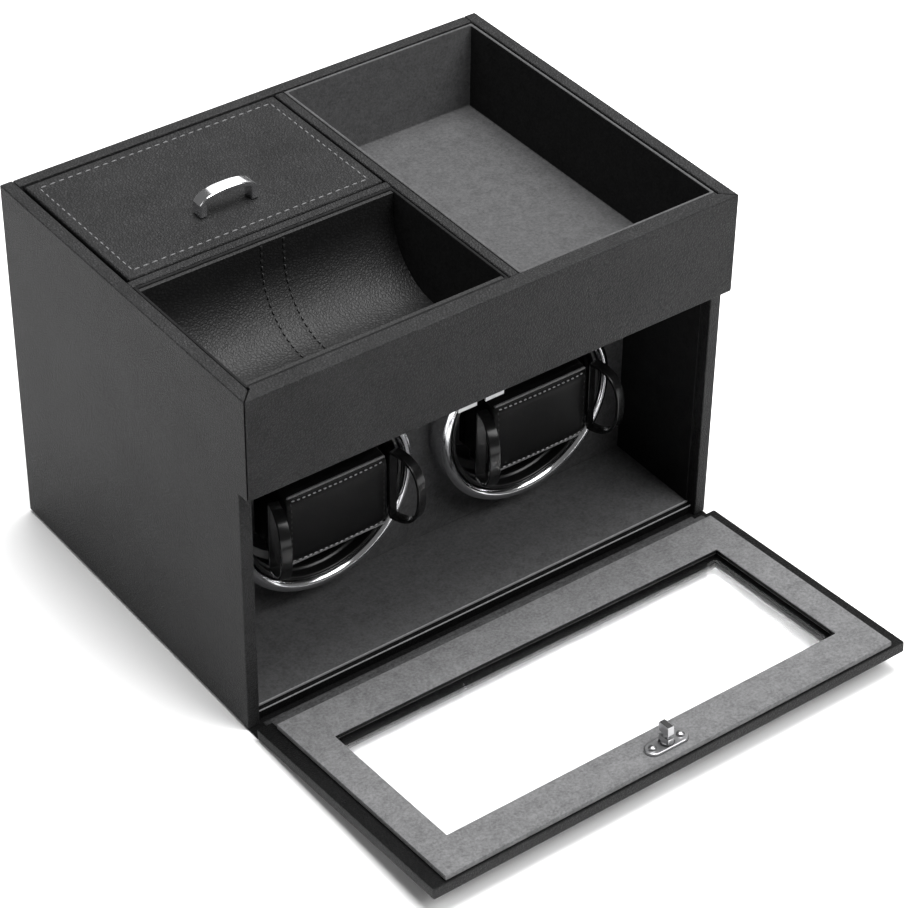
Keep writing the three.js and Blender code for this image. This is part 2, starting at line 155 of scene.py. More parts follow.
# A material takes its finish from one group, whose outputs go to the shader's sockets of the same name.
def finish(name, slot, look, values, shine=None):
    made = bpy.data.materials.new(name)
    made.use_nodes = True
    made["slot"] = slot
    tree = made.node_tree
    shader = tree.nodes["Principled BSDF"]
    effect = tree.nodes.new("ShaderNodeGroup")
    effect.node_tree = look
    for title, value in values.items():
        effect.inputs[title].default_value = value
    for output in effect.outputs:
        tree.links.new(output, shader.inputs[output.name])
    for title, value in (shine or {}).items():
        shader.inputs[title].default_value = value
    return made


def grey(value):
    return (value, value, value * 1.02, 1)


# Leather grain: raised pebbles with creases between them, fine pores, and a slow change of tone.
def leather_look():
    tree, given, out = group("leather_grain", {
        "Tone": ("Color", (0.04, 0.04, 0.04, 1)), "Crease Tone": ("Color", (0.02, 0.02, 0.02, 1)),
        "Pebbles": ("Float", 900.0), "Depth": ("Float", 0.5), "Gloss": ("Float", 0.5)},
        {"Base Color": "Color", "Roughness": "Float", "Normal": "Vector"})
    place = add(tree, "TexCoord").outputs["Object"]
    drift = add(tree, "TexNoise", {"Vector": place, "Scale": 420.0, "Detail": 2.0})
    shift = add(tree, "VectorMath", {0: drift.outputs["Color"], 1: (0.0012,) * 3}, operation="MULTIPLY")
    bent = add(tree, "VectorMath", {0: place, 1: shift.outputs[0]}, operation="ADD").outputs[0]
    cells = add(tree, "TexVoronoi", {"Vector": bent, "Scale": given["Pebbles"]}, feature="DISTANCE_TO_EDGE")
    pebble = spread(tree, cells.outputs["Distance"], 0.0, 1.0, 0.0, 0.28)
    pores = add(tree, "TexNoise", {"Vector": place, "Scale": 2600.0, "Detail": 3.0}).outputs["Fac"]
    patches = add(tree, "TexNoise", {"Vector": place, "Scale": 34.0, "Detail": 5.0, "Roughness": 0.62})
    tone = mixed(tree, pebble, given["Crease Tone"], given["Tone"])
    cloud = spread(tree, patches.outputs["Fac"], 0.78, 1.22, 0.3, 0.7)
    speckle = add(tree, "TexNoise", {"Vector": place, "Scale": 1150.0, "Detail": 2.0}).outputs["Fac"]
    fleck = spread(tree, speckle, 0.72, 1.28, 0.3, 0.7)
    both = add(tree, "Math", {0: cloud, 1: fleck}, operation="MULTIPLY").outputs[0]
    shade = add(tree, "VectorMath", {0: tone, 3: both}, operation="SCALE").outputs[0]
    tree.links.new(shade, out["Base Color"])
    rough = add(tree, "Math", {0: given["Gloss"], 1: spread(tree, pores, -0.08, 0.1)}, operation="ADD")
    tree.links.new(rough.outputs[0], out["Roughness"])
    height = add(tree, "Math", {0: pores, 1: 0.35, 2: pebble}, operation="MULTIPLY_ADD").outputs[0]
    bump = add(tree, "Bump", {"Strength": given["Depth"], "Distance": 0.17 * mm, "Height": height})
    tree.links.new(bump.outputs["Normal"], out["Normal"])
    return tree


grain = leather_look()
leather = finish("leather", "leather", grain,
    {"Tone": grey(0.0235), "Crease Tone": grey(0.010), "Pebbles": 850.0, "Depth": 1.0, "Gloss": 0.48},
    {"Specular IOR Level": 0.12})
# painted_shade_leather is a darker copy of the leather, painted shade: it goes on faces that lie in shadow,
# such as the floor board under the sill, the hinge strip and the door's lip and window edges.
painted_shade_leather = finish("painted_shade_leather", "leather", grain,
    {"Tone": grey(0.006), "Crease Tone": grey(0.003), "Pebbles": 850.0, "Depth": 0.8, "Gloss": 0.5},
    {"Specular IOR Level": 0.08})


# Rounds edges over, as leather drawn round a board or a worn metal edge is rounded.
def soften(form, edges, radius, segments=3):
    bmesh.ops.bevel(form, geom=edges, offset=radius, segments=segments, affect="EDGES", profile=0.5,
                    material=-1)


def merge(form, part):
    mesh = bpy.data.meshes.new("part")
    part.to_mesh(mesh)
    part.free()
    form.from_mesh(mesh)
    bpy.data.meshes.remove(mesh)


# Sets a finished shape down as a piece: it rides on a body and stands in for the frame's nodes.
def put(name, form, material, body, *nodes, sharp=38):
    bmesh.ops.recalc_face_normals(form, faces=form.faces)
    for face in form.faces:
        face.smooth = True
    for edge in form.edges:
        if len(edge.link_faces) == 2 and edge.calc_face_angle(0) > math.radians(sharp):
            edge.smooth = False
    mesh = bpy.data.meshes.new(name)
    form.to_mesh(mesh)
    form.free()
    materials = material if isinstance(material, list) else [material]
    for one in materials:
        mesh.materials.append(one)
    made = bpy.data.objects.new(name, mesh)
    bpy.context.scene.collection.objects.link(made)
    made.modifiers.new("even_shading", "WEIGHTED_NORMAL").keep_sharp = True
    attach(made, body)
    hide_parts(*nodes)
    return made


def add_block(form, low, high, radius=0.0, segments=3):
    low, high = Vector(low), Vector(high)
    block = bmesh.new()
    bmesh.ops.create_cube(block, size=1)
    bmesh.ops.scale(block, verts=block.verts, vec=high - low)
    bmesh.ops.translate(block, verts=block.verts, vec=(low + high) / 2)
    if radius:
        soften(block, block.edges[:], radius, segments)
    merge(form, block)


def board(name, node, material, radius, body="cabinet"):
    form = bmesh.new()
    add_block(form, *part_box(node), radius)
    return put(name, form, material, body, node)


# The floor board takes the darker leather: painted shade for its face under the sill.
board("floor_board", "base_panel", painted_shade_leather, 0.8 * mm)
board("centre_divider", "long_divider", leather, 0.8 * mm)
board("side_divider", "cross_divider", leather, 0.8 * mm)


# Side walls and fascia. They meet in mitred corners along the storage deck, where the fascia stands
# forward of the bay's opening, and the leather is drawn tight round every edge.
def prism(outline, axis, low, high, radius, segments=3):
    form = bmesh.new()
    turns = {"X": lambda a, b, c: (c, a, b), "Y": lambda a, b, c: (a, c, b), "Z": lambda a, b, c: (a, b, c)}
    place = turns[axis]
    face = form.faces.new([form.verts.new(place(a, b, low)) for a, b in outline])
    swept = bmesh.ops.extrude_face_region(form, geom=[face])["geom"]
    moved = [g for g in swept if isinstance(g, bmesh.types.BMVert)]
    bmesh.ops.translate(form, verts=moved, vec=place(0, 0, high - low))
    bmesh.ops.recalc_face_normals(form, faces=form.faces)
    if radius:
        soften(form, form.edges[:], radius, segments)
    return form


def walls_and_fascia():
    low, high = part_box("front_fascia")
    front, tall = low.y, low.z
    step = front + 6.3 * mm
    for side, sign in (("left", -1), ("right", 1)):
        wall_low, wall_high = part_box(f"side_panel_{side}")
        outer, inner = sign * wall_high.x if sign > 0 else wall_low.x, sign * 119 * mm
        outline = [(wall_high.y, wall_low.z), (wall_high.y, wall_high.z), (front + 0.25 * mm, wall_high.z),
                   (front + 0.25 * mm, tall), (step, tall), (step, wall_low.z)]
        form = prism(outline, "X", min(outer, inner), max(outer, inner), 0)
        for vert in form.verts:
            if vert.co.y < step - 1 * mm and abs(vert.co.x - inner) < 0.1 * mm:
                vert.co.y = step - 0.05 * mm
        soften(form, form.edges[:], 0.6 * mm)
        put(f"wall_{side}", form, leather, "cabinet", f"side_panel_{side}")
    rear = step - 0.1 * mm
    long, short = high.x, high.x - (rear - front)
    outline = [(-long, front), (long, front), (short, rear), (-short, rear)]
    form = prism(outline, "Z", low.z, high.z, 0.6 * mm)
    add_block(form, (0.5 * mm - short, rear - 0.7 * mm, low.z + 0.3 * mm),
              (short - 0.5 * mm, high.y, high.z - 0.1 * mm), 0.5 * mm)
    put("fascia", form, leather, "cabinet", "front_fascia")


walls_and_fascia()


# A frame with a stepped window is a chain of rectangles, each joined to the next and the last to the
# first. It makes the back board, the door's outer board and its inner panel.
def stepped_frame(steps, across, radius, segments=2):
    form = bmesh.new()
    loops = []
    for low, high, level in steps:
        corners = ((low[0], low[1]), (high[0], low[1]), (high[0], high[1]), (low[0], high[1]))
        loops.append([form.verts.new(across(a, b, level)) for a, b in corners])
    for near, far in zip(loops, loops[1:] + loops[:1]):
        for i in range(4):
            form.faces.new((near[i], near[i - 3], far[i - 3], far[i]))
    bmesh.ops.recalc_face_normals(form, faces=form.faces)
    bends = [e for e in form.edges if e.calc_face_angle(0) > 0.1]
    soften(form, bends, radius, segments)
    return form


# Back board, with a recess for the service cover and an opening through to the mechanism.
def back_board():
    low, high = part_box("back_panel")
    cover_low, cover_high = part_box("rear_cover")
    play, ledge = 0.3 * mm, 6.2 * mm
    outer = ((low.x, low.z), (high.x, high.z))
    recess = ((cover_low.x - play, cover_low.z - play), (cover_high.x + play, cover_high.z + play))
    opening = ((cover_low.x + ledge, cover_low.z + ledge), (cover_high.x - ledge, cover_high.z - ledge))
    seat = high.y - 2.4 * mm
    steps = [(*outer, low.y), (*opening, low.y), (*opening, seat), (*recess, seat), (*recess, high.y),
             (*outer, high.y)]
    form = stepped_frame(steps, lambda a, b, level: (a, level, b), 0.8 * mm)
    put("back_board", form, leather, "cabinet", "back_panel")


back_board()


# Trays of the deck. Each is a thin card box covered with suede: its rim shows as a fine light line
# inside the leather. The box is a block whose top is inset and pushed down to the floor.
# Brushed suede: short fibres that lie in soft patches, lighter where the nap stands up.
def suede_look():
    tree, given, out = group("suede_nap", {
        "Tone": ("Color", (0.15, 0.15, 0.15, 1)), "Shadow Tone": ("Color", (0.08, 0.08, 0.08, 1)),
        "Fibres": ("Float", 800.0), "Depth": ("Float", 0.5)},
        {"Base Color": "Color", "Roughness": "Float", "Normal": "Vector"})
    place = add(tree, "TexCoord").outputs["Object"]
    fibres = add(tree, "TexNoise", {"Vector": place, "Scale": given["Fibres"], "Detail": 4.0,
                                    "Roughness": 0.7})
    patches = add(tree, "TexNoise", {"Vector": place, "Scale": 150.0, "Detail": 5.0, "Roughness": 0.7,
                                     "Distortion": 0.3})
    nap = add(tree, "Math", {0: spread(tree, patches.outputs["Fac"], -0.1, 0.45, 0.3, 0.7),
                             1: spread(tree, fibres.outputs["Fac"], -0.1, 0.85, 0.3, 0.7)}, operation="ADD")
    tree.links.new(mixed(tree, nap.outputs[0], given["Shadow Tone"], given["Tone"]), out["Base Color"])
    tree.links.new(spread(tree, fibres.outputs["Fac"], 0.86, 1.0), out["Roughness"])
    height = add(tree, "Math", {0: fibres.outputs["Fac"], 1: patches.outputs["Fac"]}, operation="ADD")
    bump = add(tree, "Bump", {"Strength": given["Depth"], "Distance": 0.25 * mm,
                              "Height": height.outputs[0]})
    tree.links.new(bump.outputs["Normal"], out["Normal"])
    return tree


nap = suede_look()
deep_suede = finish("deep_suede", "suede", nap,
    {"Tone": grey(0.08), "Shadow Tone": grey(0.044), "Depth": 0.8},
    {"Sheen Weight": 0.05, "Sheen Roughness": 0.5, "Specular IOR Level": 0.15})
shaded_suede = finish("shaded_suede", "suede", nap,
    {"Tone": grey(0.014), "Shadow Tone": grey(0.006), "Depth": 0.8},
    {"Specular IOR Level": 0.1})
# dark_suede is a near-black copy of the suede, painted shade: it goes on the bay's walls, which lie in
# shadow, and also on the bin's liner and the felt.
dark_suede = finish("dark_suede", "dark_suede", nap,
    {"Tone": grey(0.011), "Shadow Tone": grey(0.004), "Depth": 0.6},
    {"Specular IOR Level": 0.15})


def open_box(name, node, material, wall, floor, crease=0.9 * mm):
    low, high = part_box(node)
    form = bmesh.new()
    add_block(form, low, high)
    top = max(form.faces, key=lambda face: face.calc_center_median().z)
    bmesh.ops.inset_region(form, faces=[top], thickness=wall, use_even_offset=True)
    pushed = bmesh.ops.extrude_face_region(form, geom=[top])["geom"]
    bmesh.ops.delete(form, geom=[top], context="FACES_ONLY")
    sunk = [v for v in pushed if isinstance(v, bmesh.types.BMVert)]
    bmesh.ops.translate(form, verts=sunk, vec=(0, 0, floor - (high.z - low.z)))
    rim = [e for e in form.edges if all(abs(v.co.z - high.z) < 1e-6 for v in e.verts)
           and len({round(e.calc_face_angle(0), 2)} & {0.0}) == 0]
    soften(form, rim, wall * 0.35, 2)
    part = wall * 0.9
    inside = [e for e in form.edges if all(low.x + part < v.co.x < high.x - part for v in e.verts)
              and all(low.y + part < v.co.y < high.y - part for v in e.verts)
              and e.calc_face_angle(0) > 1.0 and min(v.co.z for v in e.verts) < low.z + floor + 0.1 * mm]
    soften(form, inside, crease)
    form.normal_update()
    # The inner face of the right wall, which faces away from the light, takes shaded_suede as painted shade.
    for face in form.faces:
        centre = face.calc_center_median()
        inner = low.x + part < centre.x < high.x - part
        if inner and abs(abs(face.normal.x) - 1) < 0.1 and centre.x > (low.x + high.x) / 2:
            face.material_index = 1
    return put(name, form, [material, shaded_suede], "cabinet", node)


open_box("long_tray", "storage_tray_liner", deep_suede, 1.3 * mm, 1.3 * mm)
# The cradle's tray is all in shaded_suede, painted shade.
open_box("cradle_tray", "cradle_tray_liner", shaded_suede, 1.3 * mm, 1.3 * mm)
open_box("bin_tray", "bin_liner", dark_suede, 2.5 * mm, 1.3 * mm)


# Cradle. A padded leather sheet is bent down the back, along the floor and up the front, and sewn
# with two seams that pull it into shallow grooves. Its section is swept across in steps, so that the
# steps next to a seam can be sunk. Each stitch is a small bead of thread.
# Metal and plastic: a plain tone with faint handling marks in the gloss and a fine surface.
def polish_look():
    tree, given, out = group("handled_surface", {
        "Tone": ("Color", (0.5, 0.5, 0.5, 1)), "Gloss": ("Float", 0.2), "Marks": ("Float", 0.05),
        "Texture": ("Float", 0.0), "Stretch": ("Vector", (1, 1, 1)), "Scale": ("Float", 300.0)},
        {"Base Color": "Color", "Roughness": "Float", "Normal": "Vector"})
    place = add(tree, "TexCoord").outputs["Object"]
    pulled = add(tree, "VectorMath", {0: place, 1: given["Stretch"]}, operation="MULTIPLY").outputs[0]
    fine = add(tree, "TexNoise", {"Vector": pulled, "Scale": given["Scale"], "Detail": 4.0}).outputs["Fac"]
    smear = add(tree, "TexNoise", {"Vector": place, "Scale": 60.0, "Detail": 3.0}).outputs["Fac"]
    cloud = spread(tree, fine, 0.86, 1.1)
    tree.links.new(add(tree, "VectorMath", {0: given["Tone"], 3: cloud}, operation="SCALE").outputs[0],
                   out["Base Color"])
    rough = add(tree, "Math", {0: smear, 1: given["Marks"], 2: given["Gloss"]}, operation="MULTIPLY_ADD")
    tree.links.new(rough.outputs[0], out["Roughness"])
    bump = add(tree, "Bump", {"Strength": given["Texture"], "Distance": 0.05 * mm, "Height": fine})
    tree.links.new(bump.outputs["Normal"], out["Normal"])
    return tree


polish = polish_look()
pebbled = finish("pebbled_leather", "leather", grain,
    {"Tone": grey(0.010), "Crease Tone": grey(0.004), "Pebbles": 700.0, "Depth": 0.6, "Gloss": 0.5},
    {"Specular IOR Level": 0.28})
black_thread = finish("black_thread", "leather", polish,
    {"Tone": grey(0.006), "Gloss": 0.6, "Texture": 0.8, "Scale": 4200.0})


def stitch_row(form, start, end, pitch, length, width, lift=0.5):
    start, end = Vector(start), Vector(end)
    count = max(1, round((end - start).length / pitch))
    along = (end - start).normalized()
    turn = along.to_track_quat("X", "Z").to_matrix().to_4x4()
    size = Matrix.Diagonal((length / 2, width / 2, width * lift, 1))
    for i in range(count):
        place = Matrix.Translation(start.lerp(end, (i + 0.5) / count))
        bmesh.ops.create_uvsphere(form, u_segments=6, v_segments=4, radius=1, matrix=place @ turn @ size)


def cradle():
    low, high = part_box("cradle_insert")
    thick, radius = 2.0 * mm, 32.0 * mm
    seams = [low.x + (high.x - low.x) * share for share in (0.465, 0.554)]
    groove = 1.1 * mm
    form = bmesh.new()
    inner = radius - thick
    bends = ((low.y + radius, 180), (high.y - radius, 270))
    path = [Vector((low.x, low.y + thick, high.z))]
    for y, first in bends:
        for i in range(15):
            turn = math.radians(first + i * 90 / 14)
            path.append(Vector((low.x, y + inner * math.cos(turn), low.z + radius + inner * math.sin(turn))))
    path.append(Vector((low.x, high.y - thick, high.z)))
    points = [form.verts.new(p) for p in path]
    line = [form.edges.new(pair) for pair in zip(points, points[1:])]
    bmesh.ops.subdivide_edges(form, edges=[line[0], line[15], line[-1]], cuts=3)
    stations = [low.x + 0.6 * mm]
    for seam in seams:
        stations += [seam - 2.2 * mm, seam - groove, seam, seam + groove, seam + 2.2 * mm]
    stations += [high.x - 0.6 * mm, high.x]
    reached, edges = low.x, form.edges[:]
    for station in stations:
        swept = bmesh.ops.extrude_edge_only(form, edges=edges)["geom"]
        edges = [g for g in swept if isinstance(g, bmesh.types.BMEdge)
                 and all(v in swept for v in g.verts)]
        moved = [g for g in swept if isinstance(g, bmesh.types.BMVert)]
        bmesh.ops.translate(form, verts=moved, vec=(station - reached, 0, 0))
        reached = station
    bmesh.ops.recalc_face_normals(form, faces=form.faces)
    middle = Vector((0, (low.y + high.y) / 2, high.z))
    if form.faces[0].normal.dot(middle - form.faces[0].calc_center_median()) < 0:
        bmesh.ops.reverse_faces(form, faces=form.faces)
    form.normal_update()
    for vert in form.verts:
        if any(abs(vert.co.x - seam) < 0.1 * mm for seam in seams):
            vert.co -= vert.normal * 0.2 * mm
    bmesh.ops.solidify(form, geom=form.faces[:], thickness=thick * 0.9)
    put("cradle_sheet", form, pebbled, "cabinet", "cradle_insert", sharp=60)

    sewing = bmesh.new()
    proud = 0.1 * mm
    for seam in seams:
        for near, far in zip(path, path[1:]):
            span = (far - near).length
            if span < 0.5 * mm:
                continue
            inward = Vector((0, (low.y + high.y) / 2 - near.y, high.z - near.z)).normalized() * proud
            a, b = (Vector((seam, p.y, p.z)) + inward for p in (near, far))
            stitch_row(sewing, a, b, 3.4 * mm, min(2.3 * mm, span * 0.7), 1.0 * mm, 0.7)
    put("cradle_stitches", sewing, black_thread, "cabinet")


cradle()


# Lid of the bin: a wrapped board with a stitched border in a shallow groove. The top is inset three
# times, and the middle inset is sunk to make the groove.
thread = finish("thread", "leather", polish,
    {"Tone": grey(0.12), "Gloss": 0.7, "Texture": 0.8, "Scale": 4200.0})


def lid():
    low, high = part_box("bin_lid")
    border, groove, sunk = 4.7 * mm, 0.5 * mm, 0.22 * mm
    edge = 1.0 * mm
    form = bmesh.new()
    add_block(form, low, high, edge)
    top = max(form.faces, key=lambda face: (round(face.calc_center_median().z, 6), face.calc_area()))
    bmesh.ops.inset_region(form, faces=[top], thickness=border - edge - groove, use_even_offset=True)
    bmesh.ops.inset_region(form, faces=[top], thickness=groove, depth=-sunk, use_even_offset=True)
    bmesh.ops.inset_region(form, faces=[top], thickness=groove, depth=sunk, use_even_offset=True)
    put("lid_board", form, leather, "lid", "bin_lid", sharp=50)

    sewing = bmesh.new()
    x0, x1, y0, y1 = low.x + border, high.x - border, low.y + border, high.y - border
    level = high.z - sunk + 0.12 * mm
    corners = [(x0, y0), (x1, y0), (x1, y1), (x0, y1)]
    for near, far in zip(corners, corners[1:] + corners[:1]):
        stitch_row(sewing, (*near, level), (*far, level), 4.3 * mm, 2.9 * mm, 0.7 * mm)
    put("lid_stitches", sewing, thread, "lid")


lid()


# Handle of the lid: a cast bar on two short legs, arched a little along its top, polished and plated.
chrome = finish("chrome", "chrome", polish,
    {"Tone": grey(0.88), "Gloss": 0.1, "Marks": 0.06},
    {"Metallic": 1.0})


def handle():
    low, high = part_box("lid_handle")
    centre = (low.x + high.x) / 2
    reach, inside, shoulder = 14.5 * mm, 10.9 * mm, 12.2 * mm
    outer = [(-reach, 0), (-reach, 6.3 * mm), (-shoulder, 8.6 * mm)]
    arch = [(shoulder * t / 8, 8.6 * mm + 2.1 * mm * (1 - abs(t / 8) ** 2.6)) for t in range(-7, 8)]
    under = [(inside * t / 8, 6.6 * mm + 1.8 * mm * (1 - abs(t / 8) ** 2.6)) for t in range(8, -9, -1)]
    outline = outer + arch + [(shoulder, 8.6 * mm), (reach, 6.3 * mm), (reach, 0), (inside, 0)]
    outline += under + [(-inside, 0)]
    form = prism([(centre + x, low.z + z) for x, z in outline], "Y", low.y, high.y, 0)
    rims = [e for e in form.edges if e.calc_face_angle(0) > 0.45]
    soften(form, rims, 0.7 * mm)
    put("lid_bar", form, chrome, "lid", "lid_handle", sharp=55)


handle()


# Lining of the bay: three suede-covered boards, one on the floor and one on each wall. Their front edges
# show as light lines
# between dark gaps: the floor board's front face and a strip along the top of the sill are painted in a
# light card tone as highlight lines, and the walls take the near-black suede as painted shade.
# edge_highlight_card is a light suede tone painted on front edges as a highlight line.
edge_highlight_card = finish("edge_highlight_card", "suede", nap,
    {"Tone": grey(0.24), "Shadow Tone": grey(0.17), "Depth": 0.3})


def bay():
    low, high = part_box("bay_lining")
    card = 1.3 * mm
    floor = bmesh.new()
    add_block(floor, low, (high.x, high.y, low.z + card), 0.4 * mm, 2)
    floor.normal_update()
    # The floor's front face takes the light card tone: a painted highlight line.
    for face in floor.faces:
        if face.calc_center_median().y < low.y + 0.5 * mm:
            face.material_index = 1
    put("bay_floor", floor, [deep_suede, edge_highlight_card], "cabinet", "bay_lining")
    base_low, base_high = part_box("base_panel")
    # A thin strip along the sill's top front edge in the light card tone: a painted highlight line.
    highlight_line = bmesh.new()
    add_block(highlight_line, (low.x, base_low.y - 0.12 * mm, base_high.z - 0.5 * mm),
              (high.x, base_low.y + 0.45 * mm, base_high.z + 0.08 * mm), 0.12 * mm, 1)
    put("sill_highlight_line", highlight_line, edge_highlight_card, "cabinet")
    for side, x in (("left", low.x), ("right", high.x - card)):
        wall = bmesh.new()
        add_block(wall, (x, low.y, low.z + card + 0.1 * mm), (x + card, high.y, high.z), 0.4 * mm, 2)
        put(f"bay_wall_{side}", wall, dark_suede, "cabinet")


bay()


# Winders. A polished ring stands proud of the panel, with a gloss black cup inside it that is beaded
# near its mouth and steps in once on its way back. Both are spun from a section of radii and depths,
# and both turn with the pulley behind.
cup_black = finish("cup_black", "gloss_black", polish,
    {"Tone": grey(0.007), "Gloss": 0.26, "Marks": 0.1})


def turned(section, centre, axis="Y", rounding=0.0, steps=96, loop=False):
    form = bmesh.new()
    points = [form.verts.new((radius, 0, along)) for radius, along in section]
    ends = points[1:] + points[:1] if loop else points[1:]
    for pair in zip(points, ends):
        form.edges.new(pair)
    if rounding:
        bends = points if loop else points[1:-1]
        bmesh.ops.bevel(form, geom=bends, offset=rounding, segments=3, affect="VERTICES", profile=0.5,
                        material=-1)
    bmesh.ops.spin(form, geom=form.verts[:] + form.edges[:], cent=(0, 0, 0), axis=(0, 0, 1), dvec=(0, 0, 0),
                   angle=2 * math.pi, steps=steps, use_merge=True)
    bmesh.ops.remove_doubles(form, verts=form.verts, dist=0.002 * mm)
    if axis == "Y":
        upright = Matrix.Rotation(math.radians(-90), 3, "X")
        bmesh.ops.rotate(form, verts=form.verts, cent=(0, 0, 0), matrix=upright)
    bmesh.ops.translate(form, verts=form.verts, vec=centre)
    return form


def winder(side):
    low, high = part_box(f"bezel_ring_{side}")
    centre = ((low.x + high.x) / 2, 0, (low.z + high.z) / 2)
    outer = (high.x - low.x) / 2
    inner = outer - 5.5 * mm
    front, back = low.y, high.y
    rim, roll = front + 5.2 * mm, 3.2 * mm
    section = [(inner, back), (outer - 0.3 * mm, back), (outer, rim)]
    swell = (outer - inner) / 2
    for i in range(9):
        turn = math.radians(8 + i * 164 / 8)
        radius = inner + swell + swell * math.cos(turn)
        section.append((radius, front + roll * (1 - math.sin(turn))))
    section.append((inner, rim))
    ring = turned(section, centre, rounding=0.25 * mm, steps=128, loop=True)
    put(f"ring_{side}", ring, chrome, f"rotor_{side}", f"bezel_ring_{side}", sharp=60)

    low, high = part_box(f"rotor_cup_{side}")
    outer = (high.x - low.x) / 2
    mouth, bead, wall, well = 38.9 * mm, 37.7 * mm, 38.7 * mm, 35.3 * mm
    floor = high.y - 2.2 * mm
    section = [(0, high.y), (outer, high.y), (outer, low.y), (mouth, low.y), (mouth, low.y + 4.5 * mm),
               (bead, low.y + 5.7 * mm), (bead, low.y + 7.3 * mm), (wall, low.y + 8.5 * mm),
               (wall, low.y + 13.5 * mm), (well, low.y + 16.0 * mm), (well, floor), (0, floor)]
    cup = turned(section, centre, rounding=0.5 * mm, steps=112)
    put(f"cup_{side}", cup, cup_black, f"rotor_{side}", f"rotor_cup_{side}")


for side in ("left", "right"):
    winder(side)


# Pillows. Each is a firm leather pad, sewn round near its edges, on a moulded frame whose two ears
# close its ends.
smooth_leather = finish("smooth_leather", "leather", grain,
    {"Tone": grey(0.004), "Crease Tone": grey(0.0025), "Pebbles": 1500.0, "Depth": 0.15,
        "Gloss": 0.34},
    {"Specular IOR Level": 0.1})
# highlight_piping_leather is a light leather painted on the pads' edge cords as a highlight line.
highlight_piping_leather = finish("highlight_piping_leather", "leather", grain,
    {"Tone": grey(0.12), "Crease Tone": grey(0.08), "Pebbles": 2400.0, "Depth": 0.2, "Gloss": 0.3})
pale_thread = finish("pale_thread", "leather", polish,
    {"Tone": grey(0.32), "Gloss": 0.7, "Texture": 0.8, "Scale": 4200.0})
gloss_black = finish("gloss_black", "gloss_black", polish,
    {"Tone": grey(0.006), "Gloss": 0.15, "Marks": 0.12},
    {"Specular IOR Level": 0.3})


def pillow(side):
    low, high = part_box(f"pillow_pad_{side}")
    form = bmesh.new()
    add_block(form, low, high)
    front_edges = [e for e in form.edges if all(v.co.y < low.y + 1e-6 for v in e.verts)
                   and abs(e.verts[0].co.x - e.verts[1].co.x) > 1e-3]
    soften(form, front_edges, 6 * mm, 8)
    cuts = (0.12, 0.05, 0.5, 0.95, 0.88)
    for share in cuts:
        x = low.x + (high.x - low.x) * share
        everything = form.verts[:] + form.edges[:] + form.faces[:]
        bmesh.ops.bisect_plane(form, geom=everything, plane_co=(x, 0, 0), plane_no=(1, 0, 0))
    for share in (0.2, 0.35, 0.5, 0.65, 0.8):
        z = low.z + (high.z - low.z) * share
        everything = form.verts[:] + form.edges[:] + form.faces[:]
        bmesh.ops.bisect_plane(form, geom=everything, plane_co=(0, 0, z), plane_no=(0, 0, 1))
    middle, half = (low + high) / 2, (high - low) / 2
    for vert in form.verts:
        across = (vert.co.x - middle.x) / half.x
        if vert.co.y < high.y - 2 * mm:
            vert.co.y += 1.1 * mm * across ** 4
            vert.co.z -= math.copysign(0.6 * mm, vert.co.z - middle.z) * across ** 6
    rims = [e for e in form.edges if all(abs(abs(v.co.x - middle.x) - half.x) < 1e-5 for v in e.verts)
            and e.calc_face_angle(0) > 0.5]
    soften(form, rims, 1.2 * mm)
    surface = BVHTree.FromBMesh(form)

    def on_face(x, z):
        return surface.ray_cast(Vector((x, low.y - 10 * mm, z)), Vector((0, 1, 0)))[0]

    pad = put(f"pad_{side}", form, smooth_leather, f"pillow_{side}", f"pillow_pad_{side}", sharp=60)

    sewing = bmesh.new()
    x0, x1 = low.x + 2.2 * mm, high.x - 2.2 * mm
    z0, z1 = low.z + 3.4 * mm, high.z - 3.2 * mm
    for z in (z0, z1):
        for i in range(18):
            near, far = (on_face(x0 + (x1 - x0) * share, z) for share in ((i + 0.1) / 18, (i + 0.9) / 18))
            stitch_row(sewing, near, far, 3 * mm, 1.8 * mm, 0.7 * mm)
    put(f"pad_stitches_{side}", sewing, pale_thread, f"pillow_{side}")
    ends = bmesh.new()
    for x in (x0, x1):
        for i in range(11):
            near, far = (on_face(x, z0 + (z1 - z0) * share) for share in ((i + 0.1) / 11, (i + 0.9) / 11))
            stitch_row(ends, near, far, 3 * mm, 1.8 * mm, 0.7 * mm)
    put(f"pad_end_stitches_{side}", ends, black_thread, f"pillow_{side}")
    # Cords along the pad's top and bottom edges; their light tone is a painted highlight along the rounded
    # edges.
    piping = bmesh.new()
    for z in (low.z + 1.5 * mm, high.z - 1.3 * mm):
        cord = turned([(0, low.x + 0.6 * mm), (0.65 * mm, low.x + 1.2 * mm), (0.65 * mm, high.x - 1.2 * mm),
                       (0, high.x - 0.6 * mm)], (0, 0, 0), axis="Z", steps=12)
        bmesh.ops.rotate(cord, verts=cord.verts, cent=(0, 0, 0), matrix=Matrix.Rotation(math.pi / 2, 3, "Y"))
        bmesh.ops.translate(cord, verts=cord.verts, vec=(0, on_face(middle.x, z).y + 0.1 * mm, z))
        merge(piping, cord)
    put(f"pad_piping_{side}", piping, highlight_piping_leather, f"pillow_{side}")

    low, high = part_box(f"pillow_frame_{side}")
    ear = 1.3 * mm
    form = bmesh.new()
    add_block(form, (low.x, high.y - 5.2 * mm, low.z), high, 0.8 * mm)
    for x in (low.x, high.x - ear):
        add_block(form, (x, low.y, low.z), (x + ear, high.y - 3 * mm, high.z), 0.5 * mm)
    put(f"pillow_shell_{side}", form, gloss_black, f"pillow_{side}", f"pillow_frame_{side}")


for side in ("left", "right"):
    pillow(side)


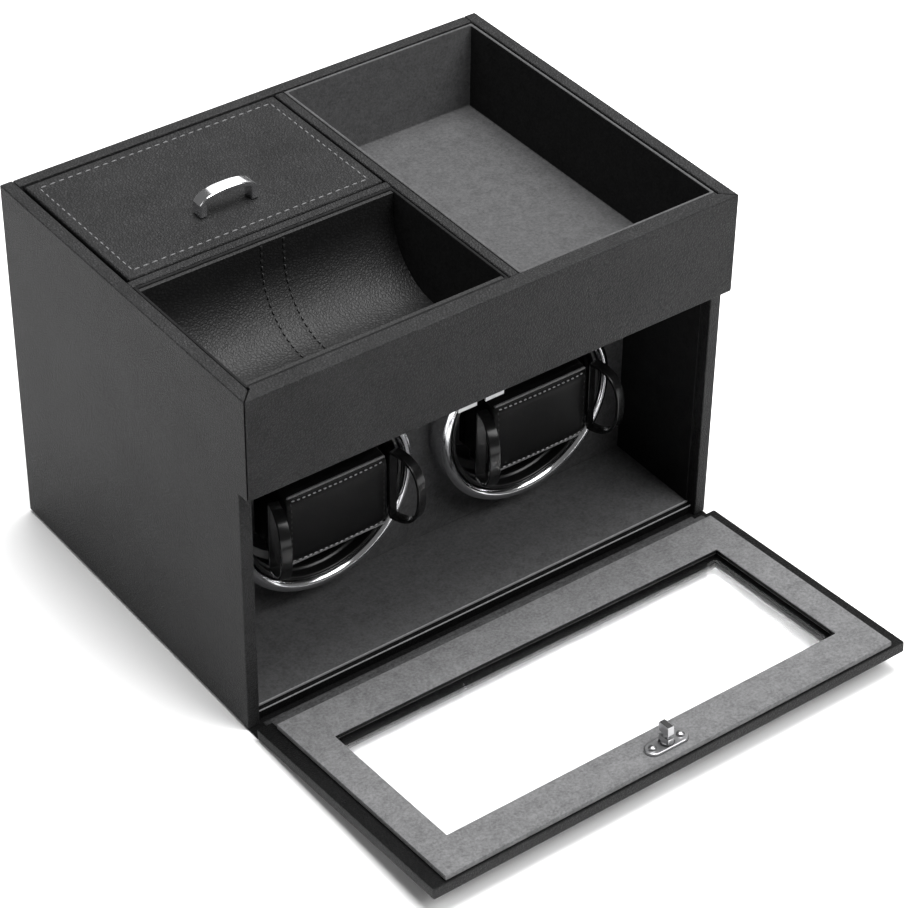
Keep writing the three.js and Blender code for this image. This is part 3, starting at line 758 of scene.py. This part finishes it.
# Hoops. A springy moulded ribbon loops out from each end of a pillow. A ring between two flattened
# circles is given its width, its rims are softened, and it is turned to point outwards and forwards.
def hoop(end, side):
    node = f"pillow_hoop_{end}_{side}"
    sign = -1 if end == "left" else 1
    low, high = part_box(node)
    band, width = 1.5 * mm, 5.0 * mm
    reach, half = 18 * mm, (high.z - low.z) / 2
    outward, forward = 0.25, -0.968
    across = width / 2 * -forward
    root_x = low.x + across if sign > 0 else high.x - across
    root = Vector((root_x, high.y - width / 2 * outward, (low.z + high.z) / 2))
    form = bmesh.new()
    loops = []
    flat = 1.6 * mm
    for inset in (0, band):
        ring = bmesh.ops.create_circle(form, segments=56, radius=1)["verts"]
        for vert in ring:
            full_x, full_z = (math.copysign(abs(part) ** 0.8, part) for part in vert.co.xy)
            along = full_x * ((reach - flat if full_x > 0 else flat) - inset)
            vert.co = Vector((along + flat, 0, full_z * (half - inset)))
        loops += list({e for v in ring for e in v.link_edges})
    bmesh.ops.bridge_loops(form, edges=loops)
    swept = bmesh.ops.extrude_face_region(form, geom=form.faces[:])["geom"]
    moved = [g for g in swept if isinstance(g, bmesh.types.BMVert)]
    bmesh.ops.translate(form, verts=moved, vec=(0, width, 0))
    bmesh.ops.translate(form, verts=form.verts, vec=(0, -width / 2, 0))
    bmesh.ops.recalc_face_normals(form, faces=form.faces)
    rims = [e for e in form.edges if e.calc_face_angle(0) > 1.0]
    soften(form, rims, 0.45 * mm, 2)
    heading = math.atan2(forward, outward * sign)
    bmesh.ops.rotate(form, verts=form.verts, cent=(0, 0, 0), matrix=Matrix.Rotation(heading, 3, "Z"))
    bmesh.ops.translate(form, verts=form.verts, vec=root)
    put(f"hoop_{end}_{side}", form, gloss_black, f"hoop_{end}_{side}", node)


for side in ("left", "right"):
    for end in ("left", "right"):
        hoop(end, side)


# Door. Its pieces are made lying flat in the door's own frame, with the hinge line along X at the
# origin and the free edge at -Y, and are then set down at the angle the open door rests at.
hinge_joint = next(joint for joint in frame["joints"] if joint["name"] == "door_hinge")
door_tilt = math.radians(-4.5)
door_place = Matrix.Translation(hinge_joint["pos_m"]) @ Matrix.Rotation(door_tilt, 4, "X")
half_door = 125 * mm


def on_door(form):
    bmesh.ops.transform(form, matrix=door_place, verts=form.verts)
    return form


# Outer board of the door, wrapped in leather, with a ledge in its window that the pane sits on. Its lip
# round the inner panel and its window take the darker leather as painted shade.
def door_board():
    window = ((-101 * mm, -103.5 * mm), (101 * mm, -30 * mm))
    seat = ((-106 * mm, -108.5 * mm), (106 * mm, -25 * mm))
    outer = ((-half_door, -126.3 * mm), (half_door, -0.7 * mm))
    ledge, top = 3.1 * mm, 5.5 * mm
    steps = [(*outer, 0), (*window, 0), (*window, ledge), (*seat, ledge), (*seat, top), (*outer, top)]
    form = stepped_frame(steps, lambda a, b, level: (a, b, level), 0.7 * mm)
    form.normal_update()
    # Faces on the lip and in the window take the darker leather as painted shade.
    for face in form.faces:
        centre = face.calc_center_median()
        on_lip = centre.z > top - 0.3 * mm and face.normal.z > 0.9
        if on_lip or (abs(centre.x) < 107 * mm and -109 * mm < centre.y < -24 * mm):
            face.material_index = 1
    put("door_board", on_door(form), [leather, painted_shade_leather], "door", "door_shell")


# Inner panel of the door: a board covered in suede and glued into the outer one. The clear pane is
# held between the two.
suede = finish("suede", "suede", nap,
    {"Tone": grey(0.155), "Shadow Tone": grey(0.075), "Depth": 0.8},
    {"Sheen Weight": 0.1, "Sheen Roughness": 0.5, "Specular IOR Level": 0.15})
clear = finish("clear_acrylic", "clear_pane", polish,
    {"Tone": grey(0.97), "Gloss": 0.02, "Marks": 0.03},
    {"Transmission Weight": 1.0, "IOR": 1.49, "Alpha": 0.3})


def door_panel():
    outer = ((-118.3 * mm, -125.3 * mm), (118.3 * mm, -6 * mm))
    window = ((-103.5 * mm, -106 * mm), (103.5 * mm, -27.5 * mm))
    under, top = 5.7 * mm, 8.3 * mm
    steps = [(*outer, under), (*window, under), (*window, top), (*outer, top)]
    form = stepped_frame(steps, lambda a, b, level: (a, b, level), 0.45 * mm)
    form.normal_update()
    # The window's edge faces take the darker leather as painted shade.
    for face in form.faces:
        centre = face.calc_center_median()
        in_window = abs(centre.x) < 104 * mm and -106.5 * mm < centre.y < -27 * mm
        if in_window and abs(face.normal.z) < 0.3:
            face.material_index = 1
    put("door_panel", on_door(form), [suede, painted_shade_leather], "door", "door_inner_panel")
    pane = bmesh.new()
    add_block(pane, (-105.7 * mm, -108.2 * mm, 3.3 * mm), (105.7 * mm, -25.3 * mm, 5.4 * mm), 0.3 * mm, 2)
    put("door_pane", on_door(pane), clear, "door", "door_window")


door_board()
door_panel()


# Latch: an oval plated escutcheon with two round-headed screws, a flat tongue with a dark cap that
# turns in it, and a small knob on the outside. The tongue is necked where the strike's prongs pass.
latch_metal = finish("latch_metal", "chrome", polish,
    {"Tone": grey(0.4), "Gloss": 0.24, "Marks": 0.2},
    {"Metallic": 1.0})
satin_black = finish("satin_black", "matt_black", polish,
    {"Tone": grey(0.02), "Gloss": 0.42, "Marks": 0.1, "Texture": 0.5, "Scale": 2200.0})


def latch():
    u, face = -117.5 * mm, 8.5 * mm
    form = bmesh.new()
    loops = []
    for radius, spread_x in ((4.2 * mm, 6.6 * mm), (3.2 * mm, 0)):
        ring = bmesh.ops.create_circle(form, segments=48, radius=radius)["verts"]
        for vert in ring:
            vert.co.x += math.copysign(spread_x, vert.co.x) if abs(vert.co.x) > 1e-7 else spread_x
        loops += list({e for v in ring for e in v.link_edges})
    bmesh.ops.bridge_loops(form, edges=loops)
    swept = bmesh.ops.extrude_face_region(form, geom=form.faces[:])["geom"]
    moved = [g for g in swept if isinstance(g, bmesh.types.BMVert)]
    bmesh.ops.translate(form, verts=moved, vec=(0, 0, 1.2 * mm))
    bmesh.ops.recalc_face_normals(form, faces=form.faces)
    rims = [e for e in form.edges if e.calc_face_angle(0) > 1.0 and min(v.co.z for v in e.verts) > 1.0 * mm]
    soften(form, rims, 0.5 * mm)
    bmesh.ops.translate(form, verts=form.verts, vec=(0, u, face))
    put("latch_oval", on_door(form), latch_metal, "door", "latch_plate")
    top = face + 1.2 * mm
    for side, x in (("left", -7.4 * mm), ("right", 7.4 * mm)):
        dome = [(0, top + 1.4 * mm), (0.8 * mm, top + 1.3 * mm), (1.5 * mm, top + 0.9 * mm),
                (1.9 * mm, top + 0.2 * mm), (0, top + 0.2 * mm)]
        head = turned(dome, (x, u, 0), axis="Z", rounding=0.15 * mm, steps=32)
        put(f"latch_screw_head_{side}", on_door(head), latch_metal, "door", f"latch_screw_{side}")
    wide, long = 1.7 * mm, 3.2 * mm
    post = bmesh.new()
    add_block(post, (-wide, u - long, top + 0.3 * mm), (wide, u + long, 12.6 * mm), 0.3 * mm)
    stem = [(0, -2.6 * mm), (2.6 * mm, -2.6 * mm), (2.6 * mm, top + 0.6 * mm), (1.5 * mm, top + 0.6 * mm),
            (1.5 * mm, 14.4 * mm), (0, 14.4 * mm)]
    merge(post, turned(stem, (0, u, 0), axis="Z", rounding=0.15 * mm, steps=32))
    put("latch_post", on_door(post), latch_metal, "latch", "latch_spindle")
    head = bmesh.new()
    add_block(head, (-wide, u - long, 14.6 * mm), (wide, u + long, 18.9 * mm), 0.35 * mm)
    put("latch_catch", on_door(head), latch_metal, "latch", "latch_head")
    cap = bmesh.new()
    add_block(cap, (-1.35 * mm, u - 2.85 * mm, 18.6 * mm), (1.35 * mm, u + 2.85 * mm, 19.1 * mm), 0.2 * mm)
    put("latch_cap", on_door(cap), satin_black, "latch")
    knob = [(0, -4.6 * mm), (4.3 * mm, -4.6 * mm), (5 * mm, -4 * mm), (5 * mm, -1.2 * mm),
            (4.2 * mm, -0.4 * mm), (2.9 * mm, -0.4 * mm), (2.9 * mm, -2.9 * mm), (0, -2.9 * mm)]
    grip = turned(knob, (0, u, 0), axis="Z", rounding=0.25 * mm, steps=64)
    put("latch_grip", on_door(grip), latch_metal, "latch", "latch_knob")


latch()


# Strike: a bent steel bracket screwed up under the deck. The latch's tongue goes in between its two
# prongs and turns behind them.
steel = finish("steel", "steel", polish,
    {"Tone": grey(0.45), "Gloss": 0.28, "Marks": 0.1, "Texture": 0.3, "Stretch": (0.05, 1, 1),
        "Scale": 2400.0},
    {"Metallic": 1.0})


def strike():
    low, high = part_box("strike_bracket")
    gap, thick = 2.2 * mm, 1.2 * mm
    form = bmesh.new()
    for near, far in ((low.x, -gap), (gap, high.x)):
        add_block(form, (near, low.y, low.z), (far, low.y + thick, high.z), 0.3 * mm)
    lap = gap + 0.4 * mm
    add_block(form, (-lap, low.y, high.z - 5.5 * mm), (lap, low.y + thick, high.z), 0.3 * mm)
    add_block(form, (low.x, low.y + 0.2 * mm, high.z - thick), high, 0.3 * mm)
    put("strike", form, steel, "cabinet", "strike_bracket")


strike()


# Hinge cloth: a strip of suede glued to the leather hinge strip under the sill, up the door's edge and
# over it to the inner panel. It bends only where it turns up the door's edge.
hinge_suede = finish("hinge_suede", "suede", nap,
    {"Tone": grey(0.075), "Shadow Tone": grey(0.026), "Depth": 0.8},
    {"Specular IOR Level": 0.1})


def hinge_cloth():
    x = 117.5 * mm
    low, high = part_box("hinge_strip")
    base_low, base_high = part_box("base_panel")
    flat = high.z + 0.2 * mm
    bend_y = hinge_joint["pos_m"][1] + 0.75 * mm
    start = Vector((0, base_low.y - 2.6 * mm, flat))
    on_floor = [start.lerp(Vector((0, bend_y, flat)), i / 6) for i in range(7)]
    door_points = [(-0.55, 1.2), (-0.55, 2.6), (-0.55, 4.0), (-0.55, 5.2), (-0.9, 5.72), (-2.4, 5.78),
                   (-4.0, 5.78), (-5.7, 5.78)]
    on_leaf = [door_place @ Vector((0, y * mm, z * mm)) for y, z in door_points]
    form = bmesh.new()
    points = [form.verts.new((-x, p.y, p.z)) for p in on_floor + on_leaf]
    edges = [form.edges.new(pair) for pair in zip(points, points[1:])]
    columns = 24
    for _ in range(columns):
        swept = bmesh.ops.extrude_edge_only(form, edges=edges)["geom"]
        edges = [g for g in swept if isinstance(g, bmesh.types.BMEdge)
                 and all(v in swept for v in g.verts)]
        moved = [g for g in swept if isinstance(g, bmesh.types.BMVert)]
        bmesh.ops.translate(form, verts=moved, vec=(2 * x / columns, 0, 0))
    bmesh.ops.recalc_face_normals(form, faces=form.faces)
    if form.faces[0].normal.z < 0:
        bmesh.ops.reverse_faces(form, faces=form.faces)
    bmesh.ops.solidify(form, geom=form.faces[:], thickness=0.15 * mm)
    bmesh.ops.recalc_face_normals(form, faces=form.faces)
    for face in form.faces:
        face.smooth = True
    mesh = bpy.data.meshes.new("hinge_cloth")
    form.to_mesh(mesh)
    form.free()
    mesh.materials.append(hinge_suede)
    cloth = bpy.data.objects.new("hinge_cloth", mesh)
    bpy.context.scene.collection.objects.link(cloth)
    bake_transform(cloth)


hinge_cloth()


# Rear controls: two fluted programme knobs with a white pointer, each in a ring of raised dots, a
# rocker switch, a barrel socket and the cover's screws.
white_ink = finish("white_ink", "matt_black", polish,
    {"Tone": grey(0.6), "Gloss": 0.5, "Marks": 0.1})


def rear_controls():
    cover_low, cover_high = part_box("rear_cover")
    for side in ("left", "right"):
        low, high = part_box(f"mode_knob_{side}")
        centre = Vector(((low.x + high.x) / 2, 0, (low.z + high.z) / 2))
        base = cover_high.y + 0.5 * mm
        section = [(0, low.y), (3 * mm, low.y), (3 * mm, base), (8 * mm, base), (7.2 * mm, high.y),
                   (0, high.y)]
        knob = turned(section, centre, rounding=0.4 * mm, steps=48)
        for vert in knob.verts:
            away = Vector((vert.co.x - centre.x, 0, vert.co.z - centre.z))
            turn = math.atan2(away.z, away.x)
            if away.length > 6.5 * mm and vert.co.y > base + 1 * mm:
                vert.co -= away.normalized() * 0.45 * mm * (0.5 + 0.5 * math.cos(turn * 16))
        put(f"programme_knob_{side}", knob, satin_black, f"knob_{side}", f"mode_knob_{side}", sharp=50)
        line = bmesh.new()
        add_block(line, (centre.x - 0.4 * mm, high.y - 0.3 * mm, centre.z + 1.5 * mm),
                  (centre.x + 0.4 * mm, high.y - 0.02 * mm, centre.z + 6.2 * mm), 0.1 * mm, 1)
        put(f"knob_pointer_{side}", line, white_ink, f"knob_{side}")
        dots = bmesh.new()
        for i in range(7):
            turn = math.radians(-135 + i * 45)
            place = Matrix.Translation((centre.x + 11 * mm * math.sin(turn), cover_high.y,
                                        centre.z + 11 * mm * math.cos(turn)))
            size = Matrix.Diagonal((0.6 * mm, 0.25 * mm, 0.6 * mm, 1))
            bmesh.ops.create_uvsphere(dots, u_segments=12, v_segments=6, radius=1, matrix=place @ size)
        put(f"knob_dots_{side}", dots, white_ink, "cabinet")
        low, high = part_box(f"cover_screw_{side}")
        centre = ((low.x + high.x) / 2, 0, (low.z + high.z) / 2)
        head = [(0, low.y), (1.4 * mm, low.y), (1.4 * mm, high.y - 1.3 * mm), (2.9 * mm, high.y - 1.3 * mm),
                (2.1 * mm, high.y - 0.2 * mm), (0, high.y)]
        put(f"cover_screw_head_{side}", turned(head, centre, rounding=0.15 * mm, steps=32), steel, "cabinet",
            f"cover_screw_{side}")
    low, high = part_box("power_inlet")
    centre = ((low.x + high.x) / 2, 0, (low.z + high.z) / 2)
    collar = cover_high.y + 0.2 * mm
    socket = [(0, low.y), (4.3 * mm, low.y), (4.3 * mm, collar), (5.4 * mm, collar), (5.4 * mm, high.y),
              (2.8 * mm, high.y), (2.8 * mm, low.y + 3.6 * mm), (0, low.y + 3.6 * mm)]
    put("barrel_socket", turned(socket, centre, rounding=0.2 * mm, steps=48), satin_black, "cabinet",
        "power_inlet")
    pin = [(0, low.y + 3.6 * mm), (0.9 * mm, low.y + 3.6 * mm), (0.9 * mm, high.y - 2 * mm),
           (0, high.y - 1.6 * mm)]
    put("socket_pin", turned(pin, centre, rounding=0.15 * mm, steps=20), steel, "cabinet")

    low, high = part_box("power_switch")
    outer = cover_high.y
    middle = (low.z + high.z) / 2
    profile = [(low.y, low.z), (outer + 3 * mm, low.z), (outer + 1.9 * mm, middle - 4 * mm),
               (outer + 1.35 * mm, middle), (outer + 1.25 * mm, middle + 4 * mm), (outer + 1.4 * mm, high.z),
               (low.y, high.z)]
    form = prism(profile, "X", low.x, high.x, 0)
    rims = [e for e in form.edges if e.calc_face_angle(0) > 0.6]
    soften(form, rims, 0.35 * mm, 2)
    put("rocker", form, gloss_black, "power_rocker", "power_switch")


rear_controls()


# Frame pieces whose shape is right as they stand: felt, deck board, winder panel, hinge strip, the
# mechanism and its board. They keep their shape and only take their finish.
rubber = finish("rubber", "rubber", polish,
    {"Tone": grey(0.015), "Gloss": 0.75, "Marks": 0.15, "Texture": 0.6, "Scale": 1400.0})
board_green = finish("board_green", "circuit_board", polish,
    {"Tone": (0.02, 0.09, 0.035, 1), "Gloss": 0.3, "Marks": 0.1})

# The hinge strip takes the darker leather as painted shade for the band under the sill, and the felt takes
# the near-black suede.
kept = {
    "base_felt": dark_suede, "storage_deck": satin_black, "winder_panel": deep_suede,
    "hinge_strip": painted_shade_leather, "mechanism_plate": steel, "rear_cover": satin_black,
    "control_board": board_green,
}
for side in ("left", "right"):
    kept[f"driven_pulley_{side}"] = satin_black
    kept[f"motor_pulley_{side}"] = satin_black
    kept[f"rotor_axle_{side}"] = steel
    kept[f"motor_{side}"] = steel
    kept[f"drive_belt_{side}"] = rubber
for name, material in kept.items():
    mesh = frame["nodes"][name].data
    mesh.materials.clear()
    mesh.materials.append(material)
